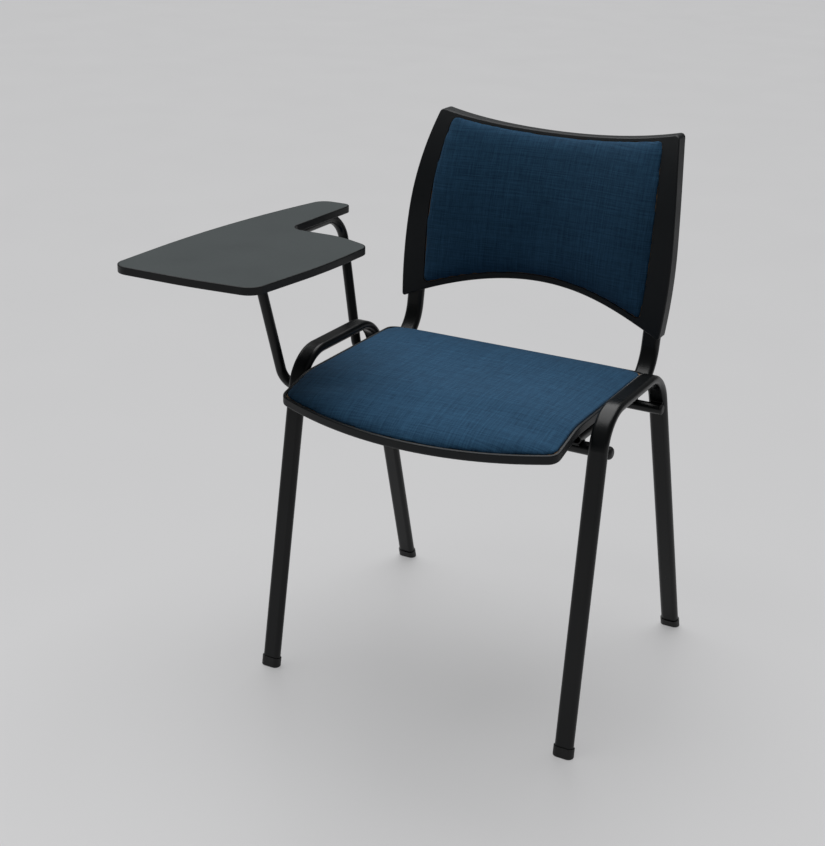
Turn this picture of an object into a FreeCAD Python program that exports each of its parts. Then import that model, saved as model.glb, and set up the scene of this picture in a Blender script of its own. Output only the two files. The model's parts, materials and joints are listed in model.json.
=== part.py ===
import FreeCAD, Part
import math
import os

from FreeCAD import Vector

# Stacking conference chair with an upholstered seat and back and a fold-up writing tablet.
# Millimetres. The chair faces -Y, +Z is up, and the tablet stands at the sitter's right hand, on the -X side.
# The model is drawn about the chair's mid-plane and is moved to its bounding box's bottom centre at the end.

# Flat-oval steel tube of the side frames and the back uprights
tube_width = 28.7
tube_depth = 14.3
tube_wall = 1.5

# Side frames: one bent tube each, front leg, side member and rear leg
frame_half_span = 244.8
member_height = 497.3
front_foot_y = -224.4
rear_foot_y = 224.4
front_corner_y = -141.0
rear_corner_y = 71.0
front_bend_radius = 58.0
rear_bend_radius = 64.0
foot_splay = 7.2

# Foot caps
cap_height = 15.0
cap_wall = 1.6
cap_edge_radius = 1.8
leg_end_height = 6.5
cap_clearance = 0.15

# Cross tubes that join the side frames under the seat
front_cross_diameter = 19.0
front_cross_height = 442.5
rear_cross_diameter = 16.0
rear_cross_height = 438.6
cross_wall = 1.45
arm_side_overlap = 9.0
cross_end_setback = 5.0

# Plugs in the open ends of the cross tubes, away from the tablet
plug_stem_length = 18.0
plug_clearance = 0.15
front_plug_length = 6.5
rear_plug_length = 4.0
plug_edge_radius = 3.0

# Back uprights: they lie on the cross tubes under the seat and turn up behind it
upright_half_span = 205.4
upright_front_y = -150.0
upright_corner_y = 138.4
upright_bend_radius = 66.0
upright_lean_deg = 9.5

# Seat tray
seat_half_width = 221.0
seat_rear_y = 107.0
seat_front_y = -274.9
seat_front_bow = 41.3
seat_front_corner_radius = 18.0
seat_rear_corner_radius = 26.0
seat_bend_y = -150.6
seat_bend_radius = 116.0
seat_drop_deg = 14.4
seat_rear_bend_y = 70.0
seat_rear_bend_radius = 140.0
rim_height = 14.0
rim_wall = 5.0
rim_top_edge_radius = 1.6
rim_low_edge_radius = 3.5
tray_floor = 3.0
tray_boss_width = 20.0
tray_boss_height = 3.1

# Seat board and cushion
seat_board_thickness = 9.0
board_clearance = 0.4
board_seat_gap = 0.2
soft_clearance = 0.6
cushion_edge_gap = 1.0
seat_crown = 12.0
seat_edge_rise = 3.0
seat_nose = 11.0
seat_rear_roll = 44.0

# Seat fixings
seat_screw_front_y = -95.0
seat_screw_rear_y = 55.0
seat_screw_diameter = 6.0
seat_screw_head_diameter = 11.0
seat_screw_head_height = 3.4
screw_clearance = 0.3
insert_diameter = 9.0
insert_length = 8.0
insert_bore_clearance = 0.06
hex_key_diameter = 4.4
hex_key_depth = 2.0

# Back shell
shell_top_height = 821.6
shell_top_half_width = 205.8
shell_widest_half_width = 227.0
shell_tip_height = 520.0
shell_widest_rise = 89.5
upright_top_share = 0.464
shell_side_radius = 867.0
shell_top_dip = 24.2
shell_arch_rise = 51.8
shell_top_corner_radius = 7.0
shell_tip_radius = 4.0
shell_edge_depth = 27.5
shell_middle_depth = 19.0
shell_dish = 31.8
shell_bend_radius = 447.0
shell_front_edge_radius = 2.5
shell_rear_edge_radius = 4.0
upright_depth_in_shell = 17.5
upright_pocket_clearance = 0.25

# Back panel: the board and the cushion in the shell's recess
panel_top_half_width = 175.5
panel_bottom_half_width = 184.0
panel_side_bow = 11.0
panel_top_margin = 4.9
panel_low_margin = 9.6
panel_top_corner_radius = 10.0
panel_bottom_corner_radius = 7.0
panel_recess_depth = 9.0
back_board_thickness = 6.6
back_crown = 8.0
back_edge_rise = 2.0
back_nose = 12.0
back_nose_gap = 1.6

# Back fixings
panel_screw_half_span = 110.0
# Heights of the screws, from the arch to the top
panel_screw_height_shares = (0.122531, 0.424829)
panel_screw_diameter = 4.0
panel_screw_head_diameter = 8.0
panel_screw_head_height = 2.2
panel_counterbore_depth = 2.6
panel_screw_grip = 4.5
upright_screw_tip_gap = 39.0
upright_screw_reach = 9.0

# Tablet arm: one bent round tube, both ends in the cross tubes
arm_diameter = 16.0
arm_wall = 1.5
arm_front_corner_x = -280.0
arm_rear_corner_x = -272.6
arm_bar_x = -328.7
arm_bar_front_y = -142.8
arm_bar_rear_y = 114.0
arm_top_bend_radius = 34.0
arm_lower_bend_radius = 30.0
arm_rear_straight = 3.0
arm_insert_length = 55.0
arm_socket_clearance = 0.05
grub_screw_diameter = 6.0
grub_screw_x = -226.0
grub_screw_stand = 1.0

# Writing tablet
tablet_outer_x = -405.0
tablet_front_y = -378.5
tablet_width = 255.0
tablet_length = 482.0
tablet_top_height = 671.0
tablet_thickness = 11.5
tablet_band_width = 2.0
tablet_edge_radius = 1.2
tablet_outline_shares = [
    # across the width, along the length, corner radius as a share of the width
    (0.0, 0.0, 0.10),
    (0.0, 0.561, 6.19),
    (0.186, 1.0, 0.10),
    (0.410, 1.0, 0.054),
    (0.394, 0.626, 0.093),
    (0.754, 0.627, 0.464),
    (1.0, 0.576, 0.10),
    (1.0, 0.341, 3.48),
    (0.921, 0.0175, 0.10),
    (0.511, 0.0, 3.10),
]

# Fold of the tablet about the arm's bar
collar_wall = 2.5
collar_width = 24.0
collar_front_y = -80.0
collar_rear_y = -31.0
collar_running_clearance = 0.05
collar_flange_reach = 46.0
collar_flange_thickness = 3.0
collar_screw_diameter = 4.0
collar_screw_head_diameter = 8.0
collar_screw_head_height = 2.4
collar_screw_grip = 8.0
collar_screw_inset = 10.0
stop_y = -102.0
stop_width = 12.0
stop_thickness = 5.0
stop_reach = 34.0
stop_buffer_diameter = 10.0
stop_buffer_height = 3.0
stop_clearance = 0.2

overrun = 5.0
box_tolerance = 0.05

UP = Vector(0, 0, 1)
DOWN = Vector(0, 0, -1)
ALONG_X = Vector(1, 0, 0)
ALONG_Y = Vector(0, 1, 0)
CHAIR_CENTRE = Vector(0, 0, 0)

# A face whose normal leans less than this out of a wall's plane counts as that wall
wall_slant_share = 0.1


# Small geometry helpers

def unit(vector):
    return vector * (1 / vector.Length) if vector.Length else vector


def rounded_corner(before, corner, after, radius):
    """Start, middle and end of the arc that rounds a corner."""
    to_before = unit(before - corner)
    to_after = unit(after - corner)
    half_angle = to_before.getAngle(to_after) / 2
    setback = radius / math.tan(half_angle)
    bisector = unit(to_before + to_after)
    centre = corner + bisector * (radius / math.sin(half_angle))
    return corner + to_before * setback, centre - bisector * radius, corner + to_after * setback


def rounded_path(points, radii):
    """Open wire of straight runs joined by tangent arcs."""
    edges = []
    start = points[0]
    for index, radius in enumerate(radii, 1):
        first, middle, last = rounded_corner(points[index - 1], points[index], points[index + 1], radius)
        edges.append(Part.makeLine(start, first))
        edges.append(Part.Arc(first, middle, last).toShape())
        start = last
    edges.append(Part.makeLine(start, points[-1]))
    return Part.Wire(edges)


def rounded_loop(corners):
    """Closed wire through corners given as (point, radius)."""
    edges = []
    arcs = []
    for index, (corner, radius) in enumerate(corners):
        before = corners[index - 1][0]
        after = corners[(index + 1) % len(corners)][0]
        arcs.append(rounded_corner(before, corner, after, radius))
    for index, (first, middle, last) in enumerate(arcs):
        edges.append(Part.Arc(first, middle, last).toShape())
        edges.append(Part.makeLine(last, arcs[(index + 1) % len(arcs)][0]))
    return Part.Wire(edges)


def corner_centre(first, second, radius):
    """Centre of the arc that rounds the +X corner between two circles in the XZ plane.

    A circle is its centre, its radius, and 1 where the outline runs inside it or -1 where it runs outside.
    """
    (first_centre, first_radius, first_side), (second_centre, second_radius, second_side) = first, second
    first_reach = first_radius - first_side * radius
    second_reach = second_radius - second_side * radius
    apart = second_centre - first_centre
    along = (first_reach ** 2 - second_reach ** 2 + apart.Length ** 2) / (2 * apart.Length)
    across = unit(xz(apart.z, -apart.x))
    if across.x < 0:
        across = across * -1
    return first_centre + unit(apart) * along + across * math.sqrt(first_reach ** 2 - along ** 2)


def on_circle(circle, point):
    """Nearest point of a circle."""
    return circle[0] + unit(point - circle[0]) * circle[1]


def circle_corner(first, second, radius):
    """Start, middle and end of that arc."""
    centre = corner_centre(first, second, radius)
    start = on_circle(first, centre)
    end = on_circle(second, centre)
    return start, centre + unit(start + end - centre * 2) * radius, end


def wall_edges(body, along, wanted):
    """Edges where walls that run along a direction meet other faces, kept where wanted(point) holds."""
    found = []
    for edge in body.Edges:
        middle = edge.valueAt((edge.FirstParameter + edge.LastParameter) / 2)
        walls = 0
        for face in body.ancestorsOfType(edge, Part.Face):
            normal = face.normalAt(*face.Surface.parameter(middle))
            walls += abs(normal.dot(along)) < wall_slant_share
        if walls == 1 and wanted(middle):
            found.append(edge)
    return found


def tube_solid(path, section):
    return path.makePipeShell([section], True, False)


def cylinder(diameter, base, direction, length):
    return Part.makeCylinder(diameter / 2, length, base, direction)


def both_sides(shape):
    return [shape, shape.mirror(CHAIR_CENTRE, ALONG_X)]


def yz(y, z):
    return Vector(0, y, z)


def xz(x, z):
    return Vector(x, 0, z)


def flipped(point):
    return Vector(-point.x, point.y, point.z)


# Flat-oval tube

def oval_section(centre, direction, width, depth):
    """Flat-oval outline across a direction in the YZ plane, its wide side along X."""
    flat = ALONG_X * ((width - depth) / 2)
    nose = ALONG_X * (width / 2)
    side = unit(direction.cross(ALONG_X)) * (depth / 2)
    edges = [
        Part.makeLine(centre - flat + side, centre + flat + side),
        Part.Arc(centre + flat + side, centre + nose, centre + flat - side).toShape(),
        Part.makeLine(centre + flat - side, centre - flat - side),
        Part.Arc(centre - flat - side, centre - nose, centre - flat + side).toShape(),
    ]
    return Part.Wire(edges)


def oval_tube(points, radii):
    path = rounded_path(points, radii)
    direction = points[1] - points[0]
    outer = tube_solid(path, oval_section(points[0], direction, tube_width, tube_depth))
    bore_width = tube_width - 2 * tube_wall
    bore_depth = tube_depth - 2 * tube_wall
    bore = tube_solid(path, oval_section(points[0], direction, bore_width, bore_depth))
    return outer.cut(bore)


def oval_rod(start, end, growth):
    """Straight flat-oval bar, larger than the tube by the growth on every side."""
    width = tube_width + 2 * growth
    depth = tube_depth + 2 * growth
    return Part.Face(oval_section(start, end - start, width, depth)).extrude(end - start)


# Side frames and their foot caps

front_corner = yz(front_corner_y, member_height)
rear_corner = yz(rear_corner_y, member_height)
front_leg = unit(front_corner - yz(front_foot_y, 0))
rear_leg = unit(rear_corner - yz(rear_foot_y, 0))
splay_deg = math.degrees(math.atan(foot_splay / member_height))


def splayed(shape):
    """Moves a shape drawn on the mid-plane to the +X side frame and leans it out towards its feet."""
    moved = shape.copy()
    moved.rotate(yz(0, member_height), ALONG_Y, -splay_deg)
    moved.translate(ALONG_X * frame_half_span)
    return moved


def leg_x(height):
    """Centre of a leg at a height, from the mid-plane."""
    return frame_half_span + foot_splay * (member_height - height) / member_height


def side_frame():
    start = yz(front_foot_y, 0) + front_leg * leg_end_height
    end = yz(rear_foot_y, 0) + rear_leg * leg_end_height
    tube = oval_tube([start, front_corner, rear_corner, end], [front_bend_radius, rear_bend_radius])
    return splayed(tube)


def foot_cap(foot_y, leg):
    """Cap pushed over a leg's end, cut flat where it stands."""
    foot = yz(foot_y, 0)
    body = splayed(oval_rod(foot - leg * cap_height, foot + leg * cap_height, cap_wall))
    room = 2 * cap_height
    ground = Part.makeBox(2 * room, 2 * room, room)
    ground.translate(Vector(leg_x(0) - room, foot_y - room, -room))
    body = body.cut(ground)
    low_edges = [edge for edge in body.Edges if edge.BoundBox.ZMax < cap_edge_radius]
    body = body.makeFillet(cap_edge_radius, low_edges)
    leg_end = foot + leg * (leg_end_height - cap_clearance)
    return body.cut(splayed(oval_rod(leg_end, foot + leg * room, cap_clearance)))


# Cross tubes

def tube_centre_y(foot_y, leg, height, diameter, side):
    """Y of a cross tube that is tangent to a leg's flat face, on the side towards the chair's middle."""
    centre_line = foot_y + leg.y / leg.z * height
    return centre_line + side * (tube_depth / 2 + diameter / 2) / leg.z


front_cross_y = tube_centre_y(front_foot_y, front_leg, front_cross_height, front_cross_diameter, 1)
rear_cross_y = tube_centre_y(rear_foot_y, rear_leg, rear_cross_height, rear_cross_diameter, -1)
front_cross_end_x = leg_x(front_cross_height) + tube_width / 2 - cross_end_setback
rear_cross_end_x = leg_x(rear_cross_height) + tube_width / 2 - cross_end_setback
front_cross_arm_x = -leg_x(front_cross_height) - arm_side_overlap
rear_cross_arm_x = -leg_x(rear_cross_height) - arm_side_overlap
front_cross_bore = arm_diameter + 2 * arm_socket_clearance
rear_cross_bore = rear_cross_diameter - 2 * cross_wall
arm_spigot_diameter = rear_cross_bore - 2 * arm_socket_clearance


def grub_hole(height, y):
    return cylinder(grub_screw_diameter, Vector(grub_screw_x, y, height), DOWN, front_cross_diameter)


def cross_tube(start_x, end_x, y, height, diameter, bore):
    length = end_x - start_x
    tube = cylinder(diameter, Vector(start_x, y, height), ALONG_X, length)
    hollow = cylinder(bore, Vector(start_x - overrun, y, height), ALONG_X, length + 2 * overrun)
    return tube.cut(hollow).cut(grub_hole(height, y))


def front_cross_tube():
    return cross_tube(front_cross_arm_x, front_cross_end_x, front_cross_y, front_cross_height,
                      front_cross_diameter, front_cross_bore)


def rear_cross_tube():
    return cross_tube(rear_cross_arm_x, rear_cross_end_x, rear_cross_y, rear_cross_height,
                      rear_cross_diameter, rear_cross_bore)


def cross_plug(end_x, y, height, diameter, bore, length, radius):
    """Plug with a rounded head outside the tube and a stem inside it."""
    head = cylinder(diameter, Vector(end_x, y, height), ALONG_X, length)
    outer_edge = [edge for edge in head.Edges if edge.BoundBox.XMin > end_x + length / 2]
    head = head.makeFillet(radius, outer_edge)
    stem_start = Vector(end_x - plug_stem_length, y, height)
    stem = cylinder(bore - 2 * plug_clearance, stem_start, ALONG_X, plug_stem_length + length / 2)
    return head.fuse(stem).removeSplitter()


def front_cross_plug():
    return cross_plug(front_cross_end_x, front_cross_y, front_cross_height, front_cross_diameter,
                      front_cross_bore, front_plug_length, 2 * plug_edge_radius)


def rear_cross_plug():
    return cross_plug(rear_cross_end_x, rear_cross_y, rear_cross_height, rear_cross_diameter,
                      rear_cross_bore, rear_plug_length, plug_edge_radius)


# Back uprights

rail_front_lift = front_cross_height + (front_cross_diameter + tube_depth) / 2
rail_rear_lift = rear_cross_height + (rear_cross_diameter + tube_depth) / 2
rail_slope = (rail_rear_lift - rail_front_lift) / (rear_cross_y - front_cross_y)
rail_cosine = math.cos(math.atan(rail_slope))


def rail_centre_z(y):
    """Centre height of the rail part of an upright, which lies on both cross tubes."""
    lift = (front_cross_diameter + tube_depth) / 2 * (1 / rail_cosine - 1)
    return rail_front_lift + lift + rail_slope * (y - front_cross_y)


def rail_top_z(y):
    return rail_centre_z(y) + tube_depth / 2 / rail_cosine


upright_angle = math.radians(upright_lean_deg)
upright_up = yz(math.sin(upright_angle), math.cos(upright_angle))
upright_back = yz(math.cos(upright_angle), -math.sin(upright_angle))
upright_corner = yz(upright_corner_y, rail_centre_z(upright_corner_y))


def on_upright(height):
    """Point of an upright's centre line at a height."""
    return upright_corner + upright_up * ((height - upright_corner.z) / upright_up.z)


def seat_screw_places():
    return [(x, y) for x in (-upright_half_span, upright_half_span)
            for y in (seat_screw_front_y, seat_screw_rear_y)]


def seat_screw_hole(x, y):
    base = Vector(x, y, rail_centre_z(y) - tube_depth)
    return cylinder(seat_screw_diameter + 2 * screw_clearance, base, UP, 2 * tube_depth + rim_height)


def back_upright():
    start = yz(upright_front_y, rail_centre_z(upright_front_y))
    tube = oval_tube([start, upright_corner, on_upright(upright_top_height)], [upright_bend_radius])
    tube.translate(ALONG_X * upright_half_span)
    for x, y in seat_screw_places():
        tube = tube.cut(seat_screw_hole(x, y))
    return tube.cut(upright_screw_hole(upright_half_span))


# Seat tray, board and cushion

seat_rim_z = rail_top_z(upright_front_y) + tray_boss_height + rim_height
seat_drop = math.radians(seat_drop_deg)


def seat_point(angle, depth, run):
    """Point under the rim's surface: on its front bend at an angle, or a run further down its front slope."""
    radius = seat_bend_radius - depth
    y = seat_bend_y - radius * math.sin(angle) - run * math.cos(angle)
    z = seat_rim_z - seat_bend_radius + radius * math.cos(angle) - run * math.sin(angle)
    return yz(y, z)


def seat_rear_point(y, depth):
    """Point of the same surface on its rear bend."""
    radius = seat_rear_bend_radius - depth
    reach = y - seat_rear_bend_y
    return yz(y, seat_rim_z - seat_rear_bend_radius + math.sqrt(radius ** 2 - reach ** 2))


def seat_layer(top_depth, bottom_depth):
    """Sheet that follows the rim's level, bends and front slope, between two depths, wider than the seat."""
    rear_y = seat_rear_y + overrun
    slope_run = seat_bend_y - seat_front_y
    edges = []
    ends = []
    for depth in (top_depth, bottom_depth):
        rear = seat_rear_point(rear_y, depth)
        rear_middle = seat_rear_point((rear_y + seat_rear_bend_y) / 2, depth)
        rear_start = seat_rear_point(seat_rear_bend_y, depth)
        bend_start = seat_point(0, depth, 0)
        bend_middle = seat_point(seat_drop / 2, depth, 0)
        bend_end = seat_point(seat_drop, depth, 0)
        front = seat_point(seat_drop, depth, slope_run)
        edges.append(Part.Arc(rear, rear_middle, rear_start).toShape())
        edges.append(Part.makeLine(rear_start, bend_start))
        edges.append(Part.Arc(bend_start, bend_middle, bend_end).toShape())
        edges.append(Part.makeLine(bend_end, front))
        ends.append((rear, front))
    edges.append(Part.makeLine(ends[0][0], ends[1][0]))
    edges.append(Part.makeLine(ends[0][1], ends[1][1]))
    face = Part.Face(Part.Wire(Part.__sortEdges__(edges)))
    half_width = seat_half_width + overrun
    face.translate(-ALONG_X * half_width)
    return face.extrude(ALONG_X * (2 * half_width))


def seat_surface_z(y, depth):
    """Height of the seat's surface at a depth, over its rear bend, level part, front bend and slope."""
    if y > seat_rear_bend_y:
        return seat_rear_point(y, depth).z
    radius = seat_bend_radius - depth
    reach = max(0, seat_bend_y - y)
    if reach <= radius * math.sin(seat_drop):
        return seat_rim_z - seat_bend_radius + math.sqrt(radius ** 2 - reach ** 2)
    end = seat_point(seat_drop, depth, 0)
    return end.z - (end.y - y) * math.tan(seat_drop)


# The front edge is a bow, rounded into the straight sides
bow_radius = (seat_half_width ** 2 + seat_front_bow ** 2) / (2 * seat_front_bow)
bow_centre = Vector(0, seat_front_y + bow_radius, 0)
front_corner_x = seat_half_width - seat_front_corner_radius
front_corner_reach = math.sqrt((bow_radius - seat_front_corner_radius) ** 2 - front_corner_x ** 2)
front_corner_centre = Vector(front_corner_x, bow_centre.y - front_corner_reach, 0)
rear_corner_x = seat_half_width - seat_rear_corner_radius
rear_corner_centre = Vector(rear_corner_x, seat_rear_y - seat_rear_corner_radius, 0)


def seat_front_y_at(x, inset):
    """Y of the drawn-in outline's front at a distance from the mid-plane."""
    bow_end_x = front_corner_x * (bow_radius - inset) / (bow_radius - seat_front_corner_radius)
    if abs(x) < bow_end_x:
        return bow_centre.y - math.sqrt((bow_radius - inset) ** 2 - x ** 2)
    radius = seat_front_corner_radius - inset
    return front_corner_centre.y - math.sqrt(max(0, radius ** 2 - (abs(x) - front_corner_x) ** 2))


def seat_rear_y_at(x, inset):
    """Y of the drawn-in outline's rear at a distance from the mid-plane."""
    radius = seat_rear_corner_radius - inset
    reach = max(0, abs(x) - rear_corner_x)
    return rear_corner_centre.y + math.sqrt(max(0, radius ** 2 - reach ** 2))


def seat_outline(inset):
    """Outline of the seat in plan, drawn in by the inset."""
    front_radius = seat_front_corner_radius - inset
    rear_radius = seat_rear_corner_radius - inset
    to_corner = unit(front_corner_centre - bow_centre)
    bow_right = bow_centre + to_corner * (bow_radius - inset)
    corner_middle = front_corner_centre + unit(to_corner + ALONG_X) * front_radius
    side_front = front_corner_centre + ALONG_X * front_radius
    side_rear = rear_corner_centre + ALONG_X * rear_radius
    rear_middle = rear_corner_centre + unit(ALONG_X + ALONG_Y) * rear_radius
    rear_right = rear_corner_centre + ALONG_Y * rear_radius
    bow_middle = bow_centre - ALONG_Y * (bow_radius - inset)
    edges = [
        Part.Arc(flipped(bow_right), bow_middle, bow_right).toShape(),
        Part.Arc(bow_right, corner_middle, side_front).toShape(),
        Part.makeLine(side_front, side_rear),
        Part.Arc(side_rear, rear_middle, rear_right).toShape(),
        Part.makeLine(rear_right, flipped(rear_right)),
        Part.Arc(flipped(rear_right), flipped(rear_middle), flipped(side_rear)).toShape(),
        Part.makeLine(flipped(side_rear), flipped(side_front)),
        Part.Arc(flipped(side_front), flipped(corner_middle), flipped(bow_right)).toShape(),
    ]
    return Part.Wire(edges)


def seat_prism(inset):
    """Upright prism of the seat's outline, taller than the seat."""
    face = Part.Face(seat_outline(inset))
    face.translate(UP * (seat_rim_z - seat_bend_radius))
    return face.extrude(UP * (2 * seat_bend_radius))


def seat_tray():
    body = seat_prism(0).common(seat_layer(0, rim_height))
    recess_depth = rim_height - tray_floor
    body = body.cut(seat_prism(rim_wall).common(seat_layer(-overrun, recess_depth)))
    low_depth = rim_height - tray_floor / 2
    low_edges = wall_edges(body, UP, lambda point: point.z < seat_surface_z(point.y, low_depth))
    body = body.makeFillet(rim_low_edge_radius, low_edges)
    top_edges = wall_edges(body, UP, lambda point: point.z > seat_surface_z(point.y, rim_height / 4))
    body = body.makeFillet(rim_top_edge_radius, top_edges)
    half_boss = tray_boss_width / 2
    under = seat_rim_z - rim_height
    for x, y in seat_screw_places():
        corners = [
            Vector(x, y - half_boss, rail_top_z(y - half_boss)),
            Vector(x, y + half_boss, rail_top_z(y + half_boss)),
            Vector(x, y + half_boss, under),
            Vector(x, y - half_boss, under),
        ]
        face = Part.Face(Part.makePolygon(corners + corners[:1]))
        face.translate(-ALONG_X * half_boss)
        body = body.fuse(face.extrude(ALONG_X * tray_boss_width))
    for x, y in seat_screw_places():
        body = body.cut(seat_screw_hole(x, y))
    return body.removeSplitter()


def seat_board():
    top_depth = rim_height - tray_floor - seat_board_thickness
    board = seat_prism(rim_wall + board_clearance).common(seat_layer(top_depth, rim_height - tray_floor))
    for x, y in seat_screw_places():
        board = board.cut(insert_body(x, y, insert_diameter))
    return board


def insert_body(x, y, diameter):
    return cylinder(diameter, Vector(x, y, seat_rim_z - rim_height + tray_floor), UP, insert_length)


def seat_inserts():
    """Threaded inserts in the board's underside, one over each screw."""
    bore = seat_screw_diameter + 2 * insert_bore_clearance
    return [insert_body(x, y, insert_diameter).cut(insert_body(x, y, bore)) for x, y in seat_screw_places()]


def seat_screws():
    """Screws up through the rails and the tray into the inserts."""
    screws = []
    for x, y in seat_screw_places():
        tilt = abs(rail_slope) * seat_screw_head_diameter / 2
        head_top = rail_centre_z(y) - tube_depth / 2 / rail_cosine - tilt
        top = seat_rim_z - rim_height + tray_floor + insert_length
        under = Vector(x, y, head_top - seat_screw_head_height)
        head = cylinder(seat_screw_head_diameter, under, UP, seat_screw_head_height)
        key = cylinder(hex_key_diameter, under, UP, hex_key_depth)
        shank = cylinder(seat_screw_diameter, Vector(x, y, head_top), UP, top - head_top)
        screws.append(head.cut(key).fuse(shank).removeSplitter())
    return screws


def soft_rise(share, crown, edge_rise):
    """Height of a cushion's crown at a share of its half width: full in the middle, low at the sides."""
    return edge_rise + (crown - edge_rise) * (1 - abs(share) ** 10)


half_station_shares = (0.25, 0.55, 0.8, 0.92, 0.96, 0.99, 1.0)
cushion_station_shares = [-share for share in reversed(half_station_shares)] + [0, *half_station_shares]


def closed_section(edges):
    return Part.Wire(Part.__sortEdges__(edges))


def seat_cushion_section(share):
    inset = rim_wall + cushion_edge_gap
    half_width = seat_half_width - inset
    x = share * half_width
    rise = soft_rise(share, seat_crown, seat_edge_rise)
    base_depth = rim_height - tray_floor - seat_board_thickness - soft_clearance
    front_y = seat_front_y_at(x, inset)
    rear_y = seat_rear_y_at(x, inset)
    reach = seat_bend_y - front_y
    angle = min(seat_drop, math.asin(min(1, reach / seat_bend_radius)) * 3 / 4)
    run = (reach - seat_bend_radius * math.sin(angle)) / math.cos(angle) - cushion_edge_gap
    nose = seat_nose * (1 + share ** 2) / 2
    low = [seat_point(0, base_depth, 0), seat_point(angle / 2, base_depth, 0),
           seat_point(angle, base_depth, 0), seat_point(angle, base_depth, run)]
    high = [seat_point(0, -rise, 0), seat_point(angle / 2, -rise, 0),
            seat_point(angle, -rise, 0), seat_point(angle, -rise, run - nose)]
    rear_low = seat_rear_point(rear_y, base_depth)
    rear_low_middle = seat_rear_point((rear_y + seat_rear_bend_y) / 2, base_depth)
    rear_low_start = seat_rear_point(seat_rear_bend_y, base_depth)
    rear_high = yz(rear_y - seat_rear_roll, seat_rim_z + rise)
    front_middle = seat_point(angle, -rise / 2, run - nose / 4)
    rear_middle = (rear_low + rear_high) * 0.5 + unit(yz(1, 2)) * (rise / 5)
    edges = [
        Part.makeLine(rear_high, high[0]),
        Part.Arc(high[0], high[1], high[2]).toShape(),
        Part.makeLine(high[2], high[3]),
        Part.Arc(high[3], front_middle, low[3]).toShape(),
        Part.makeLine(low[3], low[2]),
        Part.Arc(low[2], low[1], low[0]).toShape(),
        Part.makeLine(low[0], rear_low_start),
        Part.Arc(rear_low_start, rear_low_middle, rear_low).toShape(),
        Part.Arc(rear_low, rear_middle, rear_high).toShape(),
    ]
    section = closed_section(edges)
    section.translate(ALONG_X * x)
    return section


def seat_cushion():
    return Part.makeLoft([seat_cushion_section(share) for share in cushion_station_shares], True, False)


# Back shell, board and cushion

upright_top_height = shell_tip_height + upright_top_share * (shell_top_height - shell_tip_height)
shell_widest_height = shell_tip_height + shell_widest_rise
shell_arch_height = shell_tip_height + shell_arch_rise
bend_start = (upright_top_height - upright_corner.z) / upright_up.z
bend_reach = shell_bend_radius - upright_depth_in_shell
bend_centre = upright_corner + upright_up * bend_start + upright_back * bend_reach


def back_point(height, depth):
    """Point of the back's side profile at a height, a depth behind its front surface."""
    radius = shell_bend_radius - depth
    straight = upright_corner + upright_back * (depth - upright_depth_in_shell)
    bend_height = bend_centre.z + radius * math.sin(upright_angle)
    if height <= bend_height:
        return straight + upright_up * ((height - straight.z) / upright_up.z)
    angle = math.asin((height - bend_centre.z) / radius)
    return bend_centre + yz(-radius * math.cos(angle), radius * math.sin(angle))


def bend_height_at(depth):
    return bend_centre.z + (shell_bend_radius - depth) * math.sin(upright_angle)


def dish(share):
    """Share of the back's hollow at a share of its half width: full in the middle, none at the edges."""
    return max(0.0, 1 - share ** 2) ** 2


def profile_edges(low_height, high_height, depth, x):
    """Front or rear line of the back in side view: a straight run and the bend, with its ends."""
    knee = bend_height_at(depth)
    low = back_point(low_height, depth) + ALONG_X * x
    start = back_point(knee, depth) + ALONG_X * x
    middle = back_point((knee + high_height) / 2, depth) + ALONG_X * x
    high = back_point(high_height, depth) + ALONG_X * x
    return [Part.makeLine(low, start), Part.Arc(start, middle, high).toShape()], low, high


slab_station_shares = (-1.05, -0.95, -0.8, -0.6, -0.3, 0.0, 0.3, 0.6, 0.8, 0.95, 1.05)


def back_slab(front_edge_depth, front_middle_depth, rear_edge_depth, rear_middle_depth):
    """Curved sheet of the whole back between two surfaces, each hollowed towards the mid-plane."""
    sections = []
    low_height = shell_tip_height - overrun
    high_height = shell_top_height + overrun
    for share in slab_station_shares:
        x = share * shell_widest_half_width
        front_depth = front_edge_depth + (front_middle_depth - front_edge_depth) * dish(share)
        rear_depth = rear_edge_depth + (rear_middle_depth - rear_edge_depth) * dish(share)
        front, front_low, front_high = profile_edges(low_height, high_height, front_depth, x)
        rear, rear_low, rear_high = profile_edges(low_height, high_height, rear_depth, x)
        edges = front + rear
        edges.append(Part.makeLine(front_low, rear_low))
        edges.append(Part.makeLine(front_high, rear_high))
        sections.append(closed_section(edges))
    return Part.makeLoft(sections, True, False)


top_arc_radius = (shell_top_half_width ** 2 + shell_top_dip ** 2) / (2 * shell_top_dip)
top_arc_centre_z = shell_top_height - shell_top_dip + top_arc_radius
arch_radius = (shell_widest_half_width ** 2 + shell_arch_rise ** 2) / (2 * shell_arch_rise)
arch_centre_z = shell_arch_height - arch_radius
panel_low = xz(panel_bottom_half_width, shell_tip_height)
panel_high = xz(panel_top_half_width, shell_top_height)
panel_chord = panel_high - panel_low
panel_side_radius = panel_chord.Length ** 2 / (8 * panel_side_bow) + panel_side_bow / 2
panel_side_out = unit(xz(panel_chord.z, -panel_chord.x))
panel_side_centre = (panel_low + panel_high) * 0.5 - panel_side_out * (panel_side_radius - panel_side_bow)
panel_widest_half_width = panel_side_centre.x + panel_side_radius


def top_z(x, margin):
    return top_arc_centre_z - math.sqrt((top_arc_radius + margin) ** 2 - x ** 2)


def arch_z(x, margin):
    return arch_centre_z + math.sqrt((arch_radius + margin) ** 2 - x ** 2)


def side_line():
    return xz(shell_widest_half_width - shell_side_radius, shell_widest_height), shell_side_radius, 1


def panel_side_line(inset):
    return panel_side_centre, panel_side_radius - inset, 1


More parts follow.
